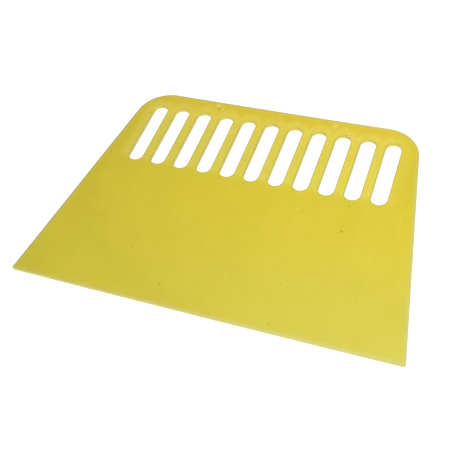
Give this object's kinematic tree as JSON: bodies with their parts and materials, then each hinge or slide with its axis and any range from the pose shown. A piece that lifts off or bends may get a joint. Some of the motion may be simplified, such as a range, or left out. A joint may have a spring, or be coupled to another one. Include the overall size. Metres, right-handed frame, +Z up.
{
  "type": "squeegee applicator",
  "caption": "Flat trapezoidal hand squeegee moulded in one piece, with a straight working edge, rounded grip corners and a row of long round-ended grip slots.",
  "frame": {"origin": "on the underside, at the middle of the blade's length and height, so the blade lies flat on the plane z = 0", "axes": "+X along the straight working edge, +Y from the working edge to the grip's top edge, +Z up through the blade's thickness"},
  "size_m": [0.1498, 0.1044, 0.0016],
  "materials": {
    "blade_plastic": "satin, slightly translucent yellow"
  },
  "bodies": {
    "root": {"applicator_blade": "blade_plastic"}
  },
  "joints": []
}
